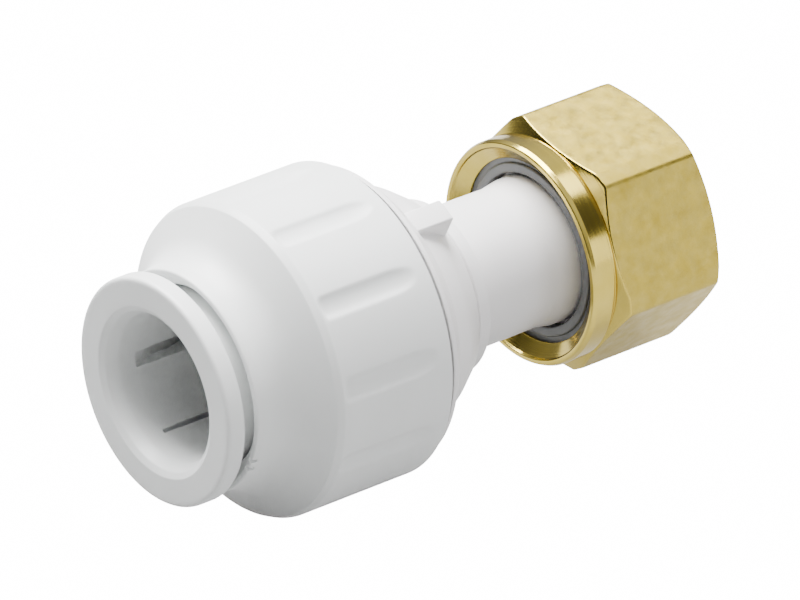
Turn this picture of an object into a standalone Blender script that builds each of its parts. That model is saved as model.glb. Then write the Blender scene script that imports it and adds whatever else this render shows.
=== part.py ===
"""Push-to-connect tap connector: a plastic push-fit socket for 15 mm tube at one end and a
captive brass swivel nut with a 1/2 inch BSP parallel thread at the other.

Every piece is a ring round the X axis, and the origin is half way along it. The tube goes in at
the -X end and +X points out of the nut. Lengths along the axis are given below in millimetres
from the mouth, the collet's front face.
"""

import math

import bmesh
import bpy
from mathutils import Matrix

MM = 0.001

# Driving dimensions, in millimetres.
TUBE_BORE_R = 7.6            # clears a 15 mm tube
FLOW_BORE_R = 5.6            # the waterway through the spigot
COLLET_RIM_R = 11.95
CAP_R = 16.5                 # outside of the screw cap
CAP_BORE_R = 9.6             # the collet's fingers run in this
CAP_MOUTH_R = 11.0           # the open ring behind the collet's rim
RIM_R = 15.9                 # the body's rim, behind the cap
STEP_R = 9.2                 # the step between the dome and the spigot
SPIGOT_R = 7.45
FLANGE_R = 9.0               # the spigot's flange, inside the nut
NUT_COLLAR_R = 11.95
NUT_ACROSS_FLATS = 24.0
NUT_CORNER_ROUND = 1.5
BSP_PITCH = 25.4 / 14        # 1/2 inch BSP: 14 threads to the inch
BSP_MAJOR_R = 20.955 / 2
BSP_MINOR_R = 18.631 / 2
BSP_THREADS = 5
CAP_PITCH = 1.8              # a quarter turn of the cap moves it 0.45 mm
CAP_THREADS = 3
MALE_ROOT_R = 12.6           # the cap's thread on the body
MALE_CREST_R = 13.2
THREAD_CLEARANCE = 0.3
THREAD_CREST = 0.25          # width of a thread's crest
GAP = 0.3                    # left between pieces that rest on each other

# Stations along the axis, in millimetres from the mouth.
COLLET_RIM_END = 2.1
CAP_FRONT = 3.85
CAP_MOUTH_END = 5.3
SLOT_START = 3.6
SLOT_THROUGH = 5.4           # from here on a slot goes right through the collet's wall
CAP_SHOULDER = 10.3
TOOTH_STATION = 12.4
COLLET_END = 14.2
SPACER_FRONT = 16.3
SPACER_REAR = 18.2
BODY_FRONT = 17.0
O_RING_STATION = 20.2
O_RING_STEP = 21.8
CAP_REAR = 24.6
RIM_FRONT = CAP_REAR + 0.6   # the cap closes this gap as it is screwed home
TUBE_STOP = 27.5
SPIGOT_START = 36.2
NUT_REAR = 46.6
HEX_START = 49.6
FLANGE_REAR = 49.9
FLANGE_FRONT = 51.6
SEALING_FACE = 53.9
NUT_END = 62.7

# Angles round the axis, in degrees from straight up towards -Y.
CAP_GROOVE_PHASE = 19.3
LUG_PHASE = 26.5
COLLET_SLOT_PHASE = 25.0
HEX_CORNER_PHASE = 39.4

CAP_GROOVES = 12
COLLET_FINGERS = 6
LUGS = 2
SEGMENTS = 36                # flats round each ring
ROUND_STEPS = 2              # flats in a rounded corner


def clear_scene():
    for obj in list(bpy.data.objects):
        bpy.data.objects.remove(obj, do_unlink=True)


def new_collection(name):
    collection = bpy.data.collections.new(name)
    bpy.context.scene.collection.children.link(collection)
    return collection


def plastic_or_metal(name, colour, roughness, metallic=0.0):
    material = bpy.data.materials.new(name)
    material.use_nodes = True
    shader = material.node_tree.nodes["Principled BSDF"]
    shader.inputs["Base Color"].default_value = (*colour, 1.0)
    shader.inputs["Roughness"].default_value = roughness
    shader.inputs["Metallic"].default_value = metallic
    return material


def x_of(station):
    """World x of a distance in millimetres from the mouth."""
    return (station - NUT_END / 2) * MM


def rounded(corners):
    """Turns (station, radius, rounding) corners into (station, radius) points, each rounded corner
    as an arc that is tangent to both of its sides."""
    points = []
    for i, (s, r, rounding) in enumerate(corners):
        if not rounding:
            points.append((s, r))
            continue
        before, after = corners[i - 1], corners[(i + 1) % len(corners)]
        to_before = math.atan2(before[1] - r, before[0] - s)
        to_after = math.atan2(after[1] - r, after[0] - s)
        opening = (to_after - to_before + math.pi) % (2 * math.pi) - math.pi
        half = abs(opening) / 2
        bisector = to_before + opening / 2
        reach = rounding / math.sin(half)
        centre = (s + reach * math.cos(bisector), r + reach * math.sin(bisector))
        turn = math.copysign(math.pi - 2 * half, opening)
        start = bisector + math.pi + turn / 2
        for k in range(ROUND_STEPS + 1):
            angle = start - turn * k / ROUND_STEPS
            points.append((centre[0] + rounding * math.cos(angle), centre[1] + rounding * math.sin(angle)))
    return points


def place(obj, collection, material):
    """Moves a new object into its collection and gives it its material."""
    for holder in list(obj.users_collection):
        holder.objects.unlink(obj)
    collection.objects.link(obj)
    obj.data.materials.clear()
    if material:
        obj.data.materials.append(material)
    return obj


def turned(name, outside, inside, collection, material=None, segments=SEGMENTS):
    """A ring turned round the X axis. outside and inside are its two sides, each a list of
    (station, radius, rounding) corners that runs from the mouth end towards the nut."""
    loop = rounded(list(reversed(outside)) + list(inside))
    mesh = bpy.data.meshes.new(name)
    vertices = [(x_of(s), r * MM, 0.0) for s, r in loop]
    edges = [(i, (i + 1) % len(loop)) for i in range(len(loop))]
    mesh.from_pydata(vertices, edges, [])
    obj = bpy.data.objects.new(name, mesh)
    collection.objects.link(obj)
    screw = obj.modifiers.new("turn", "SCREW")
    screw.axis = "X"
    screw.angle = 2 * math.pi
    screw.steps = screw.render_steps = segments
    screw.use_merge_vertices = True
    screw.merge_threshold = 0.001 * MM
    return place(obj, collection, material)


def spokes(count, phase):
    """Rotations about X that carry a shape standing straight up to each of count places."""
    return [Matrix.Rotation(math.radians(phase + 360 * k / count), 4, "X") for k in range(count)]


def boxes(bm, size, centre, turns):
    """Adds a box for each turn: size and centre are (along, across, outwards) in millimetres, with
    centre given before the turn, as (station, sideways, distance from the axis)."""
    at = Matrix.Translation((x_of(centre[0]), centre[1] * MM, centre[2] * MM))
    scale = Matrix.Diagonal((size[0] * MM, size[1] * MM, size[2] * MM, 1.0))
    for turn in turns:
        bmesh.ops.create_cube(bm, size=1.0, matrix=turn @ at @ scale)


def helper(name, bm, cutters):
    """Makes a cutter or joiner out of bm, which a render leaves out."""
    mesh = bpy.data.meshes.new(name)
    bm.to_mesh(mesh)
    bm.free()
    obj = bpy.data.objects.new(name, mesh)
    cutters.objects.link(obj)
    obj.hide_render = True
    obj.display_type = "WIRE"
    return obj


def combine(obj, other, operation):
    boolean = obj.modifiers.new(other.name, "BOOLEAN")
    boolean.operation = operation
    boolean.solver = "EXACT"
    boolean.object = other


def ring_thread(middle, count, pitch, root_r, crest_r):
    """Corners of a thread drawn as rings, the first ridge at station middle. Its flanks are 27.5
    degrees off square."""
    slope = abs(crest_r - root_r) * math.tan(math.radians(27.5))
    corners = []
    for k in range(count):
        s = middle + k * pitch
        corners += [
            (s - THREAD_CREST / 2 - slope, root_r, 0),
            (s - THREAD_CREST / 2, crest_r, 0),
            (s + THREAD_CREST / 2, crest_r, 0),
            (s + THREAD_CREST / 2 + slope, root_r, 0),
        ]
    return corners


def fitting_body(parts, cutters, white):
    """Tube socket with the cap's male thread, rim, domed shoulder, two lugs, spigot and flange."""
    outside = [
        (BODY_FRONT, MALE_ROOT_R, 0.3),
        *ring_thread(18.3, CAP_THREADS, CAP_PITCH, MALE_ROOT_R, MALE_CREST_R),
        (RIM_FRONT, MALE_ROOT_R, 0),
        (RIM_FRONT, RIM_R, 0.2),
        (25.9, RIM_R - 0.1, 0),
        (27.3, 14.3, 0),
        (28.1, 13.3, 0),
        (30.5, 12.2, 0),
        (32.9, 10.6, 0.5),
        (33.4, STEP_R, 0),
        (35.8, STEP_R, 0.4),
        (SPIGOT_START, SPIGOT_R, 0),
        (45.4, SPIGOT_R, 0),
        (47.4, 7.8, 0),
        (FLANGE_REAR, 7.8, 0),
        (FLANGE_REAR, FLANGE_R, 0.2),
        (FLANGE_FRONT, FLANGE_R, 0.2),
        (FLANGE_FRONT, 6.6, 0),
        (SEALING_FACE - 0.4, 6.6, 0.3),
    ]
    inside = [
        (BODY_FRONT, 10.2, 0.3),
        (O_RING_STEP, 10.2, 0),
        (O_RING_STEP, TUBE_BORE_R, 0.3),
        (TUBE_STOP, TUBE_BORE_R, 0),
        (TUBE_STOP, FLOW_BORE_R, 0),
        (SEALING_FACE - 0.4, FLOW_BORE_R, 0.3),
    ]
    body = turned("fitting_body", outside, inside, parts, white)
    bm = bmesh.new()
    start, end, width, top, depth = 27.5, 32.2, 2.6, 13.9, 5.0
    boxes(bm, (end - start, width, depth), ((start + end) / 2, 0, top - depth / 2),
          spokes(LUGS, LUG_PHASE))
    combine(body, helper("lugs", bm, cutters), "UNION")


def screw_cap(parts, cutters, white):
    """Bell-fronted cap whose inner cone closes the collet, with twelve shallow finger grooves."""
    root, crest = MALE_CREST_R + THREAD_CLEARANCE, MALE_ROOT_R + THREAD_CLEARANCE
    outside = [
        (CAP_FRONT, 11.6, 0.2),
        (6.7, 12.0, 1.4),
        (CAP_SHOULDER, 16.3, 0.25),
        (CAP_SHOULDER + 0.6, CAP_R, 0),
        (CAP_REAR, CAP_R, 0.25),
    ]
    inside = [
        (CAP_FRONT, CAP_MOUTH_R, 0),
        (CAP_MOUTH_END, CAP_MOUTH_R, 0),
        (CAP_MOUTH_END, CAP_BORE_R, 0),
        (8.6, CAP_BORE_R, 0),
        (12.2, 10.6, 0),
        (16.2, 10.6, 0),
        (16.2, root, 0),
        *ring_thread(19.1, CAP_THREADS, CAP_PITCH, root, crest),
        (CAP_REAR, root, 0.3),
    ]
    cap = turned("screw_cap", outside, inside, parts, white, segments=48)
    bm = bmesh.new()
    for turn in spokes(CAP_GROOVES, CAP_GROOVE_PHASE):
        scallop(bm, turn)
    combine(cap, helper("cap_grooves", bm, cutters), "DIFFERENCE")


def scallop(bm, turn):
    """A round-ended bar that cuts one shallow finger groove."""
    width, depth = 2.7, 0.5
    first, last = 10.9, 22.9
    radius = (width**2 / 4 + depth**2) / (2 * depth)
    end = math.sqrt(2 * radius * depth - depth**2)
    bar = bmesh.ops.create_uvsphere(bm, u_segments=16, v_segments=8, radius=radius * MM)["verts"]
    bmesh.ops.transform(bm, matrix=Matrix.Rotation(math.radians(90), 4, "Y"), verts=bar)
    stretch = (last - first) / 2 - end
    for vertex in bar:
        if abs(vertex.co.x) > radius * MM / 10:
            vertex.co.x += math.copysign(stretch * MM, vertex.co.x)
    middle = Matrix.Translation((x_of((first + last) / 2), 0, (CAP_R - depth + radius) * MM))
    bmesh.ops.transform(bm, matrix=turn @ middle, verts=bar)


def collet(parts, cutters, white, steel):
    """Release ring with six spring fingers, and a steel grip tooth in the end of each finger."""
    outside = [
        (0.0, COLLET_RIM_R, 0.3),
        (COLLET_RIM_END, COLLET_RIM_R, 0.3),
        (COLLET_RIM_END, 9.2, 0),
        (8.9, 9.2, 0),
        (11.6, 10.1, 0),
        (COLLET_END, 10.1, 0.5),
    ]
    inside = [
        (0.0, 8.95, 0),
        (0.35, 8.25, 0),
        (1.1, 7.75, 0),
        (2.0, TUBE_BORE_R, 0),
        (COLLET_END, TUBE_BORE_R, 0.3),
    ]
    ring = turned("collet", outside, inside, parts, white)
    past_end = COLLET_END + 1.0
    slots, starts, pockets = bmesh.new(), bmesh.new(), bmesh.new()
    for k, width in enumerate((1.8, 0.6)):
        turns = spokes(COLLET_FINGERS // 2, COLLET_SLOT_PHASE + 360 / COLLET_FINGERS * k)
        boxes(slots, (past_end - SLOT_THROUGH, width, 6.0), ((SLOT_THROUGH + past_end) / 2, 0, 9.6), turns)
        # Ahead of SLOT_THROUGH a slot is only a groove, which leaves a thin skin outside.
        depth, length = 1.9, SLOT_THROUGH - SLOT_START + 1.2
        boxes(starts, (length, width - 0.1, depth), (SLOT_START + length / 2, 0, TUBE_BORE_R), turns)
    combine(ring, helper("collet_slots", slots, cutters), "DIFFERENCE")
    combine(ring, helper("slot_starts", starts, cutters), "DIFFERENCE")
    fingers = spokes(COLLET_FINGERS, COLLET_SLOT_PHASE + 180 / COLLET_FINGERS)
    boxes(pockets, (1.1, 4.4, 3.4), (TOOTH_STATION, 0, 7.65), fingers)
    combine(ring, helper("tooth_pockets", pockets, cutters), "DIFFERENCE")
    for k, turn in enumerate(fingers, start=1):
        grip_tooth(f"grip_tooth_{k}", turn, parts, steel)


def grip_tooth(name, turn, parts, steel):
    """A small steel plate, its inner edge ground on one side to bite the tube."""
    thickness, width, height, middle = 0.5, 3.8, 1.7, 8.2
    bm = bmesh.new()
    boxes(bm, (thickness, width, height), (TOOTH_STATION, 0, middle), [Matrix.Identity(4)])
    for vertex in bm.verts:
        if vertex.co.z < middle * MM and vertex.co.x > x_of(TOOTH_STATION):
            vertex.co.x -= 0.8 * thickness * MM
    bmesh.ops.transform(bm, matrix=turn, verts=bm.verts)
    mesh = bpy.data.meshes.new(name)
    bm.to_mesh(mesh)
    bm.free()
    place(bpy.data.objects.new(name, mesh), parts, steel)


def spacer_ring(parts, white):
    """Stiff ring that carries the cap's thrust to the O-ring."""
    outside = [(SPACER_FRONT, 9.85, 0.25), (SPACER_REAR, 9.85, 0.25)]
    inside = [(SPACER_FRONT, TUBE_BORE_R + 0.15, 0.25), (SPACER_REAR, TUBE_BORE_R + 0.15, 0.25)]
    turned("spacer_ring", outside, inside, parts, white)


def o_ring(parts, rubber):
    """The tube's seal: it stands a little into the tube's bore, to be squeezed."""
    thickness_r = 1.3
    bpy.ops.mesh.primitive_torus_add(
        major_radius=(TUBE_BORE_R - 0.3 + thickness_r) * MM,
        minor_radius=thickness_r * MM,
        major_segments=SEGMENTS,
        minor_segments=12,
        location=(x_of(O_RING_STATION), 0, 0),
        rotation=(0, math.radians(90), 0),
    )
    seal = bpy.context.object
    seal.name = "o_ring"
    place(seal, parts, rubber)


def retaining_ring(parts, cutters, grey):
    """Split ring in the back of the nut that catches behind the spigot's flange."""
    rear, step, front = NUT_REAR + 0.6, NUT_REAR + 1.5, FLANGE_REAR - GAP
    outside = [(rear, 9.4, 0.15), (step, 9.4, 0), (step, 10.3, 0), (front, 10.3, 0.15)]
    inside = [(rear, 8.15, 0.15), (front, 8.15, 0.15)]
    ring = turned("retaining_ring", outside, inside, parts, grey)
    bm = bmesh.new()
    boxes(bm, (8.0, 1.0, 6.0), (step, 0, 9.3), spokes(1, LUG_PHASE + 180))
    combine(ring, helper("ring_split", bm, cutters), "DIFFERENCE")


def swivel_nut(parts, cutters, brass):
    """Brass nut: round collar, hexagon with chamfered ends, ring seat and internal thread."""
    corner_r, flat_r = NUT_ACROSS_FLATS / math.sqrt(3), NUT_ACROSS_FLATS / 2
    chamfer = (corner_r - flat_r) * math.tan(math.radians(30))
    outside = [
        (NUT_REAR, NUT_COLLAR_R, 0.4),
        (HEX_START, NUT_COLLAR_R, 0),
        (HEX_START + chamfer, corner_r, 0),
        (NUT_END - chamfer, corner_r, 0),
        (NUT_END, flat_r - 0.3, 0),
    ]
    seat_r, seat_start = 10.6, NUT_REAR + 1.2
    last_thread = NUT_END - 1.7
    first_thread = last_thread - (BSP_THREADS - 1) * BSP_PITCH
    inside = [
        (NUT_REAR, 9.75, 0.2),
        (seat_start, 9.75, 0),
        (seat_start, seat_r, 0),
        (first_thread - 1.1, seat_r, 0),
        *ring_thread(first_thread, BSP_THREADS, BSP_PITCH, BSP_MAJOR_R, BSP_MINOR_R),
        (NUT_END - 0.3, BSP_MAJOR_R, 0),
        (NUT_END, BSP_MAJOR_R + 0.25, 0),
    ]
    nut = turned("swivel_nut", outside, inside, parts, brass)
    bm = bmesh.new()
    length = (NUT_END - NUT_REAR + 4) * MM
    bmesh.ops.create_cone(bm, cap_ends=True, segments=6, radius1=corner_r * MM, radius2=corner_r * MM,
                          depth=length)
    corners = [e for e in bm.edges if e.calc_length() > 0.9 * length]
    offset = NUT_CORNER_ROUND * math.tan(math.radians(30)) * MM
    bmesh.ops.bevel(bm, geom=corners, offset=offset, segments=4, profile=0.5, affect="EDGES")
    along = Matrix.Translation((x_of((NUT_REAR + NUT_END) / 2), 0, 0)) @ Matrix.Rotation(math.radians(90), 4, "Y")
    # The prism's corners start 30 degrees from straight up.
    turn = Matrix.Rotation(math.radians(HEX_CORNER_PHASE - 30), 4, "X")
    bmesh.ops.transform(bm, matrix=turn @ along, verts=bm.verts)
    combine(nut, helper("hexagon", bm, cutters), "INTERSECT")


def sealing_washer(parts, rubber):
    outside = [(FLANGE_FRONT + GAP, FLANGE_R, 0.15), (SEALING_FACE, FLANGE_R, 0.15)]
    inside = [(FLANGE_FRONT + GAP, 6.9, 0.15), (SEALING_FACE, 6.9, 0.15)]
    turned("sealing_washer", outside, inside, parts, rubber)


def finish(parts):
    """Gives each object its modifiers' result for a mesh, smooth but for its sharp edges."""
    bpy.context.view_layer.update()
    depsgraph = bpy.context.evaluated_depsgraph_get()
    for obj in parts.objects:
        mesh = bpy.data.meshes.new_from_object(obj.evaluated_get(depsgraph))
        obj.modifiers.clear()
        obj.data = mesh
        mesh.shade_smooth()
        mesh.set_sharp_from_angle(angle=math.radians(35))


def main():
    clear_scene()
    parts = new_collection("push_fit_tap_connector")
    cutters = new_collection("cutters")
    white = plastic_or_metal("white_acetal", (0.84, 0.84, 0.83), 0.42)
    grey = plastic_or_metal("grey_acetal", (0.42, 0.43, 0.45), 0.45)
    brass = plastic_or_metal("brass", (0.72, 0.57, 0.28), 0.3, metallic=1.0)
    steel = plastic_or_metal("stainless_steel", (0.62, 0.62, 0.64), 0.3, metallic=1.0)
    rubber = plastic_or_metal("black_rubber", (0.03, 0.03, 0.03), 0.65)
    fitting_body(parts, cutters, white)
    screw_cap(parts, cutters, white)
    collet(parts, cutters, white, steel)
    spacer_ring(parts, white)
    o_ring(parts, rubber)
    retaining_ring(parts, cutters, grey)
    swivel_nut(parts, cutters, brass)
    sealing_washer(parts, rubber)
    finish(parts)


main()
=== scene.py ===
"""Looks for the push-to-connect tap connector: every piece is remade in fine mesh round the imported
frame, in white acetal, hot-stamped brass, grey acetal, steel and rubber.

All pieces are rings round the X axis. Their profiles are (station, radius, rounding) corners in
millimetres; a station is the distance along the axis from the tube's mouth. Angles round the axis
are counted from straight up towards -Y, which is right-handed about +X.
"""

import math

import bmesh
import bpy
import numpy as np
from mathutils import Matrix, Vector


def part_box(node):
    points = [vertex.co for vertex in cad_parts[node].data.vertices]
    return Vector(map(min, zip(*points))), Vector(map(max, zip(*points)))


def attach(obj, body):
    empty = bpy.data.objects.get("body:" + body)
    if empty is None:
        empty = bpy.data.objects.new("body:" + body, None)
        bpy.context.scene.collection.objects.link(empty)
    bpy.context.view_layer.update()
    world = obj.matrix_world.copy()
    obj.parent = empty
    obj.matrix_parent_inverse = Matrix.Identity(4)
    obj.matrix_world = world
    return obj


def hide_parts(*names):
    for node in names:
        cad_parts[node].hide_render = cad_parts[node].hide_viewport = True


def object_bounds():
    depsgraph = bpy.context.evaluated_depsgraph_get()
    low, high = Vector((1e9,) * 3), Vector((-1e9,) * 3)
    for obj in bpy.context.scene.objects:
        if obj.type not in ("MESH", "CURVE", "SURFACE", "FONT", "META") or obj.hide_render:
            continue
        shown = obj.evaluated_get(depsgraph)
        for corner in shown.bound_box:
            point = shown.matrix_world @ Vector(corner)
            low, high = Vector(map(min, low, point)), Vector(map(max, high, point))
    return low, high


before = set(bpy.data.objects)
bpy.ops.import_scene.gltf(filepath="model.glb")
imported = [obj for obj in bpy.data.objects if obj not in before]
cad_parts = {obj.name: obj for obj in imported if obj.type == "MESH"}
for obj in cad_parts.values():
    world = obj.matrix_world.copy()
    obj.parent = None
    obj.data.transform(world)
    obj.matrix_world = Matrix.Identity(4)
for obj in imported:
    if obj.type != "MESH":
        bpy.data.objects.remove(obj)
cad_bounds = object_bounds()

MM = 0.001
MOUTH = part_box("collet")[0].x

BSP_PITCH = 25.4 / 14
BSP_MAJOR_R = 20.955 / 2
BSP_MINOR_R = 18.631 / 2
NUT_ACROSS_FLATS = 24.0
CAP_PITCH = 1.8
MALE_ROOT_R, MALE_CREST_R = 12.6, 13.2
FEMALE_CREST_R, FEMALE_ROOT_R = 12.9, 13.5

CAP_GROOVE_PHASE = 19.3
CAP_GROOVES = 12
NOTCH_PHASE = 113
NOTCH_SPACING = 6
LUG_PHASE = 26.5
COLLET_SLOT_PHASE = 25.0
COLLET_FINGERS = 6
TOOTH_STATION = 12.4
TUBE_BORE_R = 7.6
HEX_CORNER_PHASE = 39.4
SHARP_ANGLE = 38
LIGHT_DISTANCE = 1.2


def span(node):
    """First station, last station and outer radius of a CAD node, in millimetres."""
    low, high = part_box(node)
    return (low.x - MOUTH) / MM, (high.x - MOUTH) / MM, max(high.y, -low.y, high.z, -low.z) / MM


# ---------------------------------------------------------------- shapes


def outline(corners, step):
    """A closed loop of (station, radius) points through the corners: each rounding is an arc that is
    tangent to both sides, and no straight piece is longer than step."""
    turns = []
    for i, (s, r, rounding) in enumerate(corners):
        if not rounding:
            turns.append([(s, r)])
            continue
        before, after = corners[i - 1], corners[(i + 1) % len(corners)]
        to_before = math.atan2(before[1] - r, before[0] - s)
        to_after = math.atan2(after[1] - r, after[0] - s)
        opening = (to_after - to_before + math.pi) % (2 * math.pi) - math.pi
        half = abs(opening) / 2
        bisector = to_before + opening / 2
        reach = rounding / math.sin(half)
        centre = (s + reach * math.cos(bisector), r + reach * math.sin(bisector))
        turn = math.copysign(math.pi - 2 * half, opening)
        start = bisector + math.pi + turn / 2
        steps = max(4, math.ceil(abs(turn) * rounding / step))
        angles = [start - turn * k / steps for k in range(steps + 1)]
        arc = [(rounding * math.cos(a), rounding * math.sin(a)) for a in angles]
        turns.append([(centre[0] + along, centre[1] + out) for along, out in arc])
    points = []
    for i, turn in enumerate(turns):
        points += turn
        (s0, r0), (s1, r1) = turn[-1], turns[(i + 1) % len(turns)][0]
        pieces = math.ceil(math.hypot(s1 - s0, r1 - r0) / step)
        points += [(s0 + (s1 - s0) * k / pieces, r0 + (r1 - r0) * k / pieces) for k in range(1, pieces)]
    return np.array(points)


def turned(name, outside, inside, sides=240, step=0.4, shape=None, gap=None):
    """A ring turned round the X axis. outside and inside run from the mouth end to the nut end.
    shape(station, radius, angle) moves the radius of every point; gap=(angle, width in mm) leaves
    the ring split there."""
    loop = outline(list(reversed(outside)) + list(inside), step)
    rows = len(loop)
    angles = np.arange(sides) * 2 * math.pi / sides
    if gap:
        middle, half = math.radians(gap[0]), gap[1] / 2 / loop[:, 1].mean()
        angles = np.linspace(middle + half, middle - half + 2 * math.pi, sides)
    station = np.repeat(loop[:, 0][None, :], len(angles), 0)
    radius = np.repeat(loop[:, 1][None, :], len(angles), 0)
    angle = np.repeat(angles[:, None], rows, 1)
    if shape:
        radius = shape(station, radius, angle)
    x = MOUTH + station * MM
    y = -radius * np.sin(angle) * MM
    z = radius * np.cos(angle) * MM
    points = np.stack([x, y, z], -1).reshape(-1, 3)
    faces = []
    for i in range(len(angles) - (1 if gap else 0)):
        here, there = i * rows, (i + 1) % len(angles) * rows
        for k in range(rows):
            n = (k + 1) % rows
            faces.append((here + k, there + k, there + n, here + n))
    if gap:
        last = (len(angles) - 1) * rows
        faces.append(tuple(range(rows)))
        faces.append(tuple(last + k for k in reversed(range(rows))))
    mesh = bpy.data.meshes.new(name)
    mesh.from_pydata(points.tolist(), [], faces)
    return outward(link(name, mesh))


def link(name, mesh):
    """Puts a mesh in the scene as an object."""
    obj = bpy.data.objects.new(name, mesh)
    bpy.context.scene.collection.objects.link(obj)
    return obj


def outward(obj):
    """Faces point out, and the surface is smooth but for its sharp edges."""
    bm = bmesh.new()
    bm.from_mesh(obj.data)
    bmesh.ops.recalc_face_normals(bm, faces=bm.faces)
    bm.to_mesh(obj.data)
    bm.free()
    obj.data.shade_smooth()
    obj.data.set_sharp_from_angle(angle=math.radians(SHARP_ANGLE))
    return obj


def block(name, size, centre, phase, bevel, segments=4):
    """A box with rounded edges: size and centre are (along, across, outwards) in millimetres, the
    centre as (station, sideways, distance from the axis), turned round the axis to phase."""
    bm = bmesh.new()
    at = Matrix.Translation((MOUTH + centre[0] * MM, centre[1] * MM, centre[2] * MM))
    turn = Matrix.Rotation(math.radians(phase), 4, "X")
    stretch = Matrix.Diagonal((*(v * MM for v in size), 1.0))
    bmesh.ops.create_cube(bm, size=1.0, matrix=turn @ at @ stretch)
    offset = bevel * MM
    bmesh.ops.bevel(bm, geom=bm.edges[:], offset=offset, segments=segments, profile=0.5, affect="EDGES")
    mesh = bpy.data.meshes.new(name)
    bm.to_mesh(mesh)
    bm.free()
    return outward(link(name, mesh))


def combine(obj, others, operation):
    """Joins or cuts obj with the others, which it uses up."""
    for other in others:
        boolean = obj.modifiers.new(other.name, "BOOLEAN")
        boolean.operation = operation
        boolean.solver = "EXACT"
        boolean.object = other
    bpy.context.view_layer.update()
    evaluated = obj.evaluated_get(bpy.context.evaluated_depsgraph_get())
    mesh = bpy.data.meshes.new_from_object(evaluated)
    obj.modifiers.clear()
    obj.data = mesh
    for other in others:
        bpy.data.objects.remove(other, do_unlink=True)
    return outward(obj)


def smooth_max(a, b, width):
    """The larger of a and b, with the crease between them rounded over about width."""
    return (a + b + np.sqrt((a - b) ** 2 + width**2)) / 2


def smooth_min(a, b, width):
    return -smooth_max(-a, -b, width)


def nearest(angle, phase, count):
    """Angle from the nearest of count places round the axis, the first at phase degrees."""
    pitch = 2 * math.pi / count
    return (angle - math.radians(phase) + pitch / 2) % pitch - pitch / 2


def ramp(value, start, end):
    t = np.clip((value - start) / (end - start), 0, 1)
    return t * t * (3 - 2 * t)


def ridge(station, angle, pitch, offset=0.0):
    """Phase of a right-handed thread: 1 along its crest, 0 along its root."""
    return 0.5 + 0.5 * np.cos(2 * math.pi * ((station - offset) / pitch - angle / (2 * math.pi)))


# ---------------------------------------------------------------- pieces


def screw_cap():
    """Bell-fronted cap: coved shoulder, twelve shallow finger grooves, and a thread inside."""
    front, rear, cap_r = span("screw_cap")
    shoulder = 10.3
    thread_start = front + 12.35
    groove_depth, half_width = 0.36, 1.25
    entry_length, exit_length = 0.6, 3.2

    def shape(station, radius, angle):
        outer = np.where(radius > cap_r - 0.35, radius, 0)
        across = outer * nearest(angle, CAP_GROOVE_PHASE, CAP_GROOVES)
        first, last = shoulder + 0.85, rear - 1.5
        entry = np.maximum(first + entry_length - station, 0) / entry_length
        exit_ = np.maximum(station - last + exit_length, 0) / exit_length
        hollow = 1 - np.abs(across / half_width) ** 2.4 - entry**2 - exit_**2
        depth = groove_depth * hollow
        groove = np.where(outer > 0, smooth_max(depth, 0, 0.03), 0)
        threaded = (np.abs(radius - FEMALE_ROOT_R) < 0.01) & (station > thread_start)
        tooth = np.clip(ridge(station, angle, CAP_PITCH, 19.1) * 2.4 - 1.2, 0, 1)
        fade = ramp(station, thread_start + 0.6, thread_start + 1.8)
        fade = fade * (1 - ramp(station, rear - 1.6, rear - 0.6))
        thread = np.where(threaded, (FEMALE_ROOT_R - FEMALE_CREST_R) * tooth * fade, 0)
        return radius - groove - thread

    outside = [
        (front, 11.6, 0.22),
        (7.2, 11.9, 4.5),
        (shoulder - 0.05, 16.15, 0.4),
        (shoulder + 0.7, cap_r, 0.5),
        (rear, cap_r, 0.08),
    ]
    inside = [
        (front, 11.0, 0.12),
        (5.3, 11.0, 0.3),
        (5.3, 9.6, 0.15),
        (8.6, 9.6, 0.4),
        (12.2, 10.6, 0.4),
        (thread_start, 10.6, 0.2),
        (thread_start, FEMALE_ROOT_R, 0.2),
        (rear, FEMALE_ROOT_R, 0.3),
    ]
    cap = turned("cap_shell", outside, inside, sides=480, step=0.26, shape=shape)
    notches = []
    for k in range(2):
        phase = NOTCH_PHASE + NOTCH_SPACING * k
        notches.append(block(f"notch_{k}", (1.3, 0.45, 1.2), (front, 0, 11.6), phase, 0.08, 2))
    return combine(cap, notches, "DIFFERENCE")


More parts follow.
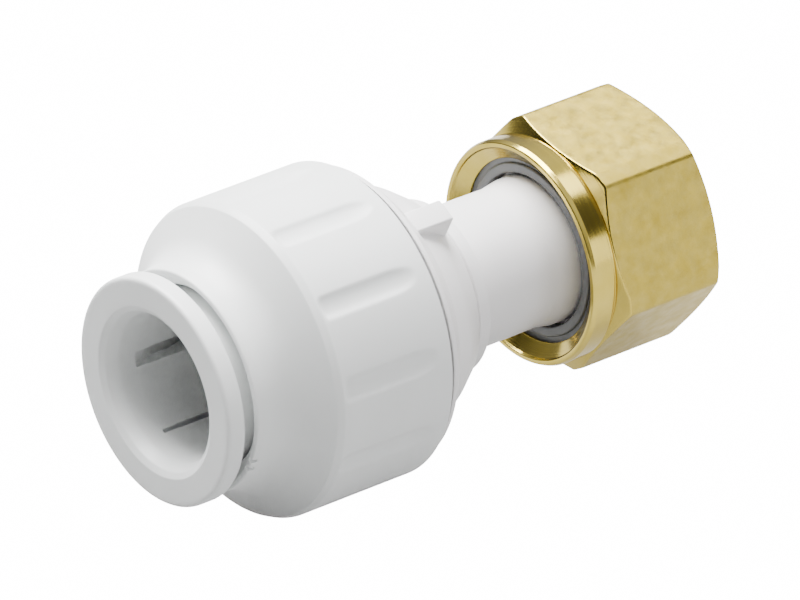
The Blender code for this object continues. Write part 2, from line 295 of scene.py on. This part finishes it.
def fitting_body():
    """Tube socket, rim, domed shoulder with its lugs, stepped spigot and flange."""
    front, rear, rim_r = span("fitting_body")
    rim = span("screw_cap")[1] + 0.6

    def shape(station, radius, angle):
        threaded = (np.abs(radius - MALE_ROOT_R) < 0.01) & (station < rim)
        tooth = np.clip(ridge(station, angle, CAP_PITCH, 18.3) * 2.4 - 1.2, 0, 1)
        fade = ramp(station, front + 0.4, front + 1.2) * (1 - ramp(station, rim - 2.6, rim - 1.6))
        return radius + np.where(threaded, (MALE_CREST_R - MALE_ROOT_R) * tooth * fade, 0)

    outside = [
        (front, MALE_ROOT_R, 0.35),
        (rim + 1.1, MALE_ROOT_R, 0.1),
        (rim + 1.1, 14.6, 0.1),
        (rim + 0.14, rim_r - 0.12, 0.03),
        (rim + 0.24, rim_r - 0.05, 0.06),
        (rim + 0.7, rim_r - 0.1, 0.3),
        (27.3, 14.3, 0.12),
        (28.1, 13.25, 0.6),
        (30.5, 12.2, 6.0),
        (33.0, 10.45, 0.5),
        (33.25, 8.9, 0.06),
        (33.95, 8.9, 0.06),
        (34.05, 9.3, 0.1),
        (35.4, 9.25, 0.22),
        (35.95, 7.55, 0.3),
        (45.4, 7.45, 3.0),
        (47.4, 7.8, 0),
        (49.9, 7.8, 0.1),
        (49.9, 9.0, 0.25),
        (51.6, 9.0, 0.25),
        (51.6, 6.6, 0.1),
        (rear, 6.6, 0.35),
    ]
    inside = [
        (front, 10.2, 0.4),
        (21.8, 10.2, 0.2),
        (21.8, TUBE_BORE_R, 0.35),
        (27.5, TUBE_BORE_R, 0.15),
        (27.5, 5.6, 0.4),
        (rear, 5.6, 0.35),
    ]
    body = turned("body_shell", outside, inside, sides=288, step=0.32, shape=shape)
    lugs = []
    for k in range(2):
        lugs.append(block(f"lug_{k}", (4.7, 2.6, 5.0), (29.85, 0, 11.4), LUG_PHASE + 180 * k, 0.22))
    return combine(body, lugs, "UNION")


def collet():
    """Release ring: a funnelled mouth, then six spring fingers with a pocket for each tooth."""
    _, rear, rim_r = span("collet")
    outside = [
        (0.0, rim_r, 0.4),
        (2.1, rim_r, 0.25),
        (2.1, 9.2, 0.3),
        (8.9, 9.2, 2.0),
        (11.6, 10.1, 1.0),
        (rear, 10.1, 0.6),
    ]
    inside = [
        (0.0, 8.95, 0.25),
        (0.4, 8.35, 0.4),
        (1.7, 7.8, 1.6),
        (3.8, TUBE_BORE_R, 2.0),
        (rear, TUBE_BORE_R, 0.4),
    ]
    ring = turned("collet_ring", outside, inside, sides=288, step=0.3)
    pitch = 360 / COLLET_FINGERS
    wide, narrow = 1.8, 0.6
    cutters = []
    for k in range(COLLET_FINGERS):
        phase = COLLET_SLOT_PHASE + pitch * k
        width = narrow if k % 2 else wide
        pocket_at = (TOOTH_STATION, 0, 7.65)
        cutters.append(block(f"slot_{k}", (9.8, width, 6.0), (10.3, 0, 9.6), phase, 0.12))
        cutters.append(block(f"slot_start_{k}", (3.0, width - 0.1, 1.9), (5.1, 0, TUBE_BORE_R), phase, 0.12))
        cutters.append(block(f"pocket_{k}", (1.1, 4.4, 3.4), pocket_at, phase + pitch / 2, 0.12, 2))
    return combine(ring, cutters, "DIFFERENCE")


def grip_tooth(k):
    """A pressed steel plate with a ground biting edge that follows the tube."""
    phase = COLLET_SLOT_PHASE + 360 / COLLET_FINGERS * (k - 0.5)
    width, inner, outer = 3.8, 7.38, 9.05
    columns = 24
    bm = bmesh.new()
    turn = Matrix.Rotation(math.radians(phase), 4, "X")
    rails = []
    for i in range(columns + 1):
        across = (i / columns - 0.5) * width
        bite = math.sqrt(inner**2 - across**2)
        corners = ((-0.25, bite), (0.05, bite + 0.45), (0.25, bite + 0.6), (0.25, outer), (-0.25, outer))
        rail = []
        for s, r in corners:
            corner = Vector((MOUTH + (TOOTH_STATION + s) * MM, -across * MM, r * MM))
            rail.append(bm.verts.new(turn @ corner))
        rails.append(rail)
    for a, b in zip(rails, rails[1:]):
        for j in range(len(a)):
            bm.faces.new((a[j], a[(j + 1) % len(a)], b[(j + 1) % len(a)], b[j]))
    bm.faces.new(rails[0])
    bm.faces.new(rails[-1])
    mesh = bpy.data.meshes.new(f"tooth_plate_{k}")
    bm.to_mesh(mesh)
    bm.free()
    return outward(link(f"tooth_plate_{k}", mesh))


def plain_ring(name, node, inner, rounding, sides=192, step=0.3):
    """A flat ring with rounded edges, as wide as its CAD node."""
    front, rear, outer = span(node)
    outside = [(front, outer, rounding), (rear, outer, rounding)]
    inside = [(front, inner, rounding), (rear, inner, rounding)]
    return turned(name, outside, inside, sides, step)


def o_ring():
    """Moulded seal with the thin flash line of its two-part mould."""
    front, rear, outer = span("o_ring")
    thick_r = (rear - front) / 2
    middle, ring_r = (front + rear) / 2, outer - thick_r

    def shape(station, radius, angle):
        flash = np.exp(-(((station - middle) / 0.08) ** 2)) * 0.02
        return radius + np.sign(radius - ring_r) * flash

    steps = 48
    profile = [
        (middle - thick_r * math.cos(math.pi * k / steps), thick_r * math.sin(math.pi * k / steps))
        for k in range(steps + 1)
    ]
    outside = [(s, ring_r + r, 0) for s, r in profile]
    inside = [(s, ring_r - r, 0) for s, r in profile[1:-1]]
    return turned("seal_ring", outside, inside, sides=192, step=0.4, shape=shape)


def retaining_ring():
    """Stepped split ring that holds the nut behind the spigot's flange."""
    front, rear, outer = span("retaining_ring")
    front += 0.8
    step_at = front + 0.35
    outside = [(front, 9.2, 0.2), (step_at, 9.2, 0.05), (step_at, outer, 0.1), (rear, outer, 0.2)]
    inside = [(front, 8.15, 0.2), (rear, 8.15, 0.2)]
    return turned("nut_ring_clip", outside, inside, step=0.2, gap=(LUG_PHASE + 180, 1.0))


def swivel_nut():
    """Turned collar with a rolled lip, hot-stamped hexagon, ring seat and right-handed thread."""
    rear_end, face, _ = span("swivel_nut")
    collar_r, flat_r = 11.95, NUT_ACROSS_FLATS / 2
    corner_r = NUT_ACROSS_FLATS / math.sqrt(3)
    hex_start = 49.55
    lean, wear = 10, 0.46
    chamfer = (corner_r - flat_r) * math.tan(math.radians(30))

    def shape(station, radius, angle):
        on_hex = ramp(station, hex_start - 0.1, hex_start + 0.1)
        flat = flat_r / np.cos(nearest(angle, HEX_CORNER_PHASE + 30, 6))
        worn = corner_r * math.cos(math.radians(lean)) - wear
        corner = worn / np.cos(nearest(angle, HEX_CORNER_PHASE - lean, 6))
        hexagon = smooth_min(flat, corner, 0.06)
        outer = radius > collar_r - 1.2
        clipped = smooth_min(radius, hexagon, 0.1)
        thread = (BSP_MAJOR_R - BSP_MINOR_R) * ridge(station, angle, BSP_PITCH)
        fade = ramp(station, 51.9, 53.2) * (1 - ramp(station, face - 1.1, face - 0.3))
        inner = np.abs(radius - BSP_MAJOR_R) < 0.01
        radius = np.where(outer, radius + (clipped - radius) * on_hex, radius)
        return np.where(inner, radius - thread * fade, radius)

    outside = [
        (rear_end, 11.72, 0.24),
        (rear_end + 0.5, collar_r, 0.3),
        (hex_start - 0.34, collar_r, 0.05),
        (hex_start - 0.28, collar_r - 0.2, 0.05),
        (hex_start - 0.02, collar_r - 0.2, 0.03),
        (hex_start + chamfer, corner_r, 0),
        (face - chamfer, corner_r, 0),
        (face, flat_r - 0.25, 0.15),
    ]
    inside = [
        (rear_end, 11.25, 0.16),
        (rear_end + 0.3, 11.1, 0.12),
        (rear_end + 1.3, 9.75, 0.15),
        (rear_end + 1.6, 9.75, 0.1),
        (rear_end + 1.6, 10.6, 0.1),
        (51.5, 10.6, 0),
        (51.7, BSP_MAJOR_R, 0),
        (face - 0.3, BSP_MAJOR_R, 0),
        (face, BSP_MAJOR_R + 0.3, 0),
    ]
    nut = turned("brass_nut", outside, inside, sides=300, step=0.125, shape=shape)
    return nut, hex_start


# ---------------------------------------------------------------- materials


class Shader:
    """A Principled material with short calls for the few kinds of node it needs."""

    def __init__(self, name, roughness, metallic=0.0):
        self.material = bpy.data.materials.new(name)
        self.material.use_nodes = True
        self.tree = self.material.node_tree
        self.surface = self.tree.nodes["Principled BSDF"]
        self.surface.inputs["Roughness"].default_value = roughness
        self.surface.inputs["Metallic"].default_value = metallic
        self.place = self.tree.nodes.new("ShaderNodeTexCoord").outputs["Object"]

    def node(self, kind, **inputs):
        made = self.tree.nodes.new(kind)
        for name, value in inputs.items():
            self.feed(made.inputs[name.replace("_", " ")], value)
        return made

    def feed(self, socket, value):
        if isinstance(value, bpy.types.NodeSocket):
            self.tree.links.new(value, socket)
        else:
            socket.default_value = value

    def stretched(self, scale):
        return self.node("ShaderNodeMapping", Vector=self.place, Scale=scale).outputs[0]

    def noise(self, scale, detail=4.0, stretch=(1, 1, 1), rough=0.5):
        place = self.stretched(stretch)
        made = self.node("ShaderNodeTexNoise", Vector=place, Scale=scale, Detail=detail, Roughness=rough)
        return made.outputs["Fac"]

    def range(self, value, low, high, to_low=0.0, to_high=1.0):
        made = self.node("ShaderNodeMapRange", Value=value, From_Min=low, From_Max=high)
        self.feed(made.inputs["To Min"], to_low)
        self.feed(made.inputs["To Max"], to_high)
        return made.outputs[0]

    def mix(self, factor, a, b):
        made = self.node("ShaderNodeMix")
        made.data_type = "RGBA"
        self.feed(made.inputs[0], factor)
        self.feed(made.inputs[6], a)
        self.feed(made.inputs[7], b)
        return made.outputs[2]

    def math(self, operation, a, b=0.0):
        made = self.node("ShaderNodeMath")
        made.operation = operation
        self.feed(made.inputs[0], a)
        self.feed(made.inputs[1], b)
        return made.outputs[0]

    def bump(self, height, distance, strength=1.0, normal=None):
        made = self.node("ShaderNodeBump", Height=height, Distance=distance, Strength=strength)
        if normal:
            self.feed(made.inputs["Normal"], normal)
        return made.outputs[0]

    def set(self, name, value):
        self.feed(self.surface.inputs[name], value)


def acetal(name, colour, shade, roughness):
    """Moulded acetal: faint mottling, and a skin with slight orange peel."""
    s = Shader(name, roughness)
    mottle = s.range(s.noise(90, 3), 0.35, 0.65)
    s.set("Base Color", s.mix(mottle, (*colour, 1), (*shade, 1)))
    s.set("Roughness", s.range(s.noise(600, 4), 0.3, 0.7, roughness - 0.05, roughness + 0.06))
    peel = s.bump(s.noise(350, 2), 0.00002, 0.35)
    s.set("Normal", s.bump(s.noise(2600, 2), 0.00001, 0.25, peel))
    s.set("IOR", 1.48)
    return s.material


def stamped_brass(name):
    """Hot-stamped brass: dull, clouded by scale, with a fine grain."""
    s = Shader(name, 0.4, 1.0)
    cloud = s.range(s.noise(500, 6, rough=0.6), 0.3, 0.7)
    pale = s.range(s.noise(900, 5, rough=0.65), 0.42, 0.7)
    base = s.mix(cloud, (0.36, 0.268, 0.035, 1), (0.41, 0.315, 0.06, 1))
    s.set("Base Color", s.mix(s.math("MULTIPLY", pale, 0.3), base, (0.48, 0.385, 0.12, 1)))
    s.set("Roughness", s.range(s.noise(700, 5), 0.3, 0.7, 0.32, 0.46))
    dents = s.bump(s.noise(600, 5, rough=0.6), 0.00005, 0.3)
    s.set("Normal", s.bump(s.noise(1800, 4, rough=0.7), 0.00003, 0.5, dents))
    return s.material


def turned_brass(name):
    """Machined brass: bright, with the fine rings that the tool left round the axis."""
    s = Shader(name, 0.2, 1.0)
    split = s.node("ShaderNodeSeparateXYZ", Vector=s.place)
    along, y, z = split.outputs[0], split.outputs[1], split.outputs[2]
    distance = s.math("SQRT", s.math("ADD", s.math("MULTIPLY", y, y), s.math("MULTIPLY", z, z)))
    flat = s.node("ShaderNodeCombineXYZ", X=along, Y=distance).outputs[0]
    rings = s.node("ShaderNodeTexNoise", Vector=flat, Scale=9000.0, Detail=3.0).outputs["Fac"]
    tint = s.range(s.noise(240, 4), 0.3, 0.7)
    s.set("Base Color", s.mix(tint, (0.48, 0.365, 0.06, 1), (0.55, 0.43, 0.1, 1)))
    s.set("Roughness", s.range(rings, 0.35, 0.65, 0.12, 0.2))
    s.set("Normal", s.bump(rings, 0.000012, 0.5))
    return s.material


def pressed_steel(name):
    s = Shader(name, 0.3, 1.0)
    grain = s.noise(900, 4, stretch=(6, 1, 1))
    s.set("Base Color", s.mix(s.range(grain, 0.3, 0.7), (0.52, 0.53, 0.55, 1), (0.68, 0.68, 0.69, 1)))
    s.set("Roughness", s.range(grain, 0.3, 0.7, 0.24, 0.38))
    s.set("Normal", s.bump(grain, 0.00001, 0.4))
    return s.material


def rubber(name):
    s = Shader(name, 0.6)
    bloom = s.range(s.noise(300, 5), 0.4, 0.7)
    s.set("Base Color", s.mix(bloom, (0.022, 0.022, 0.023, 1), (0.045, 0.045, 0.046, 1)))
    s.set("Roughness", s.range(s.noise(1200, 3), 0.3, 0.7, 0.52, 0.7))
    s.set("Normal", s.bump(s.noise(2200, 3), 0.00001, 0.5))
    return s.material


# ---------------------------------------------------------------- studio


def studio_floor():
    """Plain white table. The camera sees it bright, reflections in the object see a small share of
    that, and the light it throws back up at the object is dim, as from a sheet of glass."""
    glow_strength, reflected_share = 16.0, 0.065
    z = cad_bounds[0][2]
    bpy.ops.mesh.primitive_plane_add(size=8.0, location=(0, 0, z))
    floor = bpy.context.object
    floor.name = "floor"
    material = bpy.data.materials.new("floor_white")
    material.use_nodes = True
    tree = material.node_tree
    surface = tree.nodes["Principled BSDF"]
    surface.inputs["Base Color"].default_value = (0.2, 0.2, 0.2, 1)
    surface.inputs["Roughness"].default_value = 0.9
    glow = tree.nodes.new("ShaderNodeEmission")
    glow.inputs["Strength"].default_value = glow_strength
    path = tree.nodes.new("ShaderNodeLightPath")
    share = tree.nodes.new("ShaderNodeMath")
    share.operation = "MULTIPLY_ADD"
    tree.links.new(path.outputs["Is Glossy Ray"], share.inputs[0])
    share.inputs[1].default_value = reflected_share
    tree.links.new(path.outputs["Is Camera Ray"], share.inputs[2])
    mix = tree.nodes.new("ShaderNodeMixShader")
    tree.links.new(share.outputs[0], mix.inputs[0])
    tree.links.new(surface.outputs[0], mix.inputs[1])
    tree.links.new(glow.outputs[0], mix.inputs[2])
    tree.links.new(mix.outputs[0], tree.nodes["Material Output"].inputs["Surface"])
    floor.data.materials.append(material)


def softbox(name, toward, size, power):
    """A square light in the direction toward, which faces the object."""
    light = bpy.data.lights.new(name, "AREA")
    light.size = size
    light.energy = power
    obj = bpy.data.objects.new(name, light)
    direction = Vector(toward).normalized()
    obj.location = direction * LIGHT_DISTANCE
    obj.rotation_euler = (-direction).to_track_quat("-Z", "Y").to_euler()
    bpy.context.scene.collection.objects.link(obj)


def world_light():
    """A dim room, lighter overhead, with a dark doorway in front of the mouth and another dark place
    above the camera's right shoulder."""
    world = bpy.data.worlds.new("studio")
    world.use_nodes = True
    tree = world.node_tree
    background = tree.nodes["Background"]
    direction = tree.nodes.new("ShaderNodeTexCoord").outputs["Generated"]
    strength = None
    for toward, start, end, low, high in (
        ((0, 0, 1), -0.1, 0.95, 0.3, 1.25),
        ((1, 0, 0), -0.8, -0.15, 0.03, 1.0),
        ((-0.556, 0.582, -0.595), -0.985, -0.91, 0.15, 1.0),
    ):
        facing = tree.nodes.new("ShaderNodeVectorMath")
        facing.operation = "DOT_PRODUCT"
        tree.links.new(direction, facing.inputs[0])
        facing.inputs[1].default_value = toward
        fade = tree.nodes.new("ShaderNodeMapRange")
        fade.interpolation_type = "SMOOTHSTEP"
        for name, value in zip(("From Min", "From Max", "To Min", "To Max"), (start, end, low, high)):
            fade.inputs[name].default_value = value
        tree.links.new(facing.outputs["Value"], fade.inputs["Value"])
        if strength:
            product = tree.nodes.new("ShaderNodeMath")
            product.operation = "MULTIPLY"
            tree.links.new(strength, product.inputs[0])
            tree.links.new(fade.outputs[0], product.inputs[1])
            strength = product.outputs[0]
        else:
            strength = fade.outputs[0]
    tree.links.new(strength, background.inputs["Strength"])
    background.inputs["Color"].default_value = (1, 1, 1, 1)
    bpy.context.scene.world = world


def camera():
    azimuth, elevation, distance = math.radians(-39), math.radians(28), 1.2
    level = math.cos(elevation)
    away = Vector((math.sin(azimuth) * level, -math.cos(azimuth) * level, math.sin(elevation)))
    data = bpy.data.cameras.new("camera")
    data.lens = 540
    data.clip_end = 20
    data.shift_x = data.shift_y = -0.00125
    obj = bpy.data.objects.new("camera", data)
    obj.location = away * distance
    obj.rotation_euler = (-away).to_track_quat("-Z", "Y").to_euler()
    bpy.context.scene.collection.objects.link(obj)
    bpy.context.scene.camera = obj


# ---------------------------------------------------------------- assembly


def dress(piece, body, node, slot, *materials):
    """Gives a finished piece its materials and body, and hides the CAD node it replaces. The slot argument
    is not used.
    """
    piece.data.materials.clear()
    for material in materials:
        piece.data.materials.append(material)
    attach(piece, body)
    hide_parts(node)


def build_object():
    cool = acetal("acetal_cool_white", (0.80, 0.815, 0.81), (0.77, 0.785, 0.78), 0.36)
    warm = acetal("acetal_warm_white", (0.815, 0.80, 0.80), (0.785, 0.77, 0.77), 0.34)
    grey = acetal("acetal_grey", (0.15, 0.155, 0.16), (0.13, 0.135, 0.14), 0.42)
    black = rubber("rubber_black")
    steel = pressed_steel("steel_pressed")
    dress(screw_cap(), "cap", "screw_cap", "cap_plastic", cool)
    dress(fitting_body(), "housing", "fitting_body", "body_plastic", warm)
    dress(collet(), "release_collet", "collet", "cap_plastic", cool)
    for k in range(1, COLLET_FINGERS + 1):
        dress(grip_tooth(k), "release_collet", f"grip_tooth_{k}", "tooth_steel", steel)
    spacer = plain_ring("thrust_spacer", "spacer_ring", 7.75, 0.35)
    dress(spacer, "spacer", "spacer_ring", "body_plastic", warm)
    dress(o_ring(), "housing", "o_ring", "seal_rubber", black)
    washer = plain_ring("tap_washer", "sealing_washer", 6.9, 0.25)
    dress(washer, "housing", "sealing_washer", "seal_rubber", black)
    dress(retaining_ring(), "nut_ring", "retaining_ring", "ring_plastic", grey)
    nut, hex_start = swivel_nut()
    stamped, bright = stamped_brass("brass_stamped"), turned_brass("brass_turned")
    dress(nut, "nut", "swivel_nut", "nut_brass", stamped, bright)
    machined(nut, hex_start)


def machined(nut, hex_start):
    """The collar, both chamfers, the end face and the inside of the nut get the turned finish."""
    flat = NUT_ACROSS_FLATS / 2 * MM
    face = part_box("swivel_nut")[1].x
    for polygon in nut.data.polygons:
        x, y, z = polygon.center
        sloping = abs(polygon.normal.x) > 0.35
        collar = x < MOUTH + hex_start * MM
        inner = math.hypot(y, z) < flat - 0.0006
        polygon.material_index = 1 if collar or inner or sloping or x > face - 0.0002 else 0


build_object()
camera()
studio_floor()
world_light()
softbox("key", (0.04, 0.42, 0.9), size=0.9, power=84)
softbox("fill", (0.1, -0.95, 0.2), size=0.6, power=3)
softbox("card", (0.556, -0.826, 0.12), size=0.5, power=2)
softbox("strip", (0.556, -0.12, 0.82), size=0.4, power=3)
softbox("mouth_light", (-0.3, 0.15, 0.94), size=0.5, power=5)
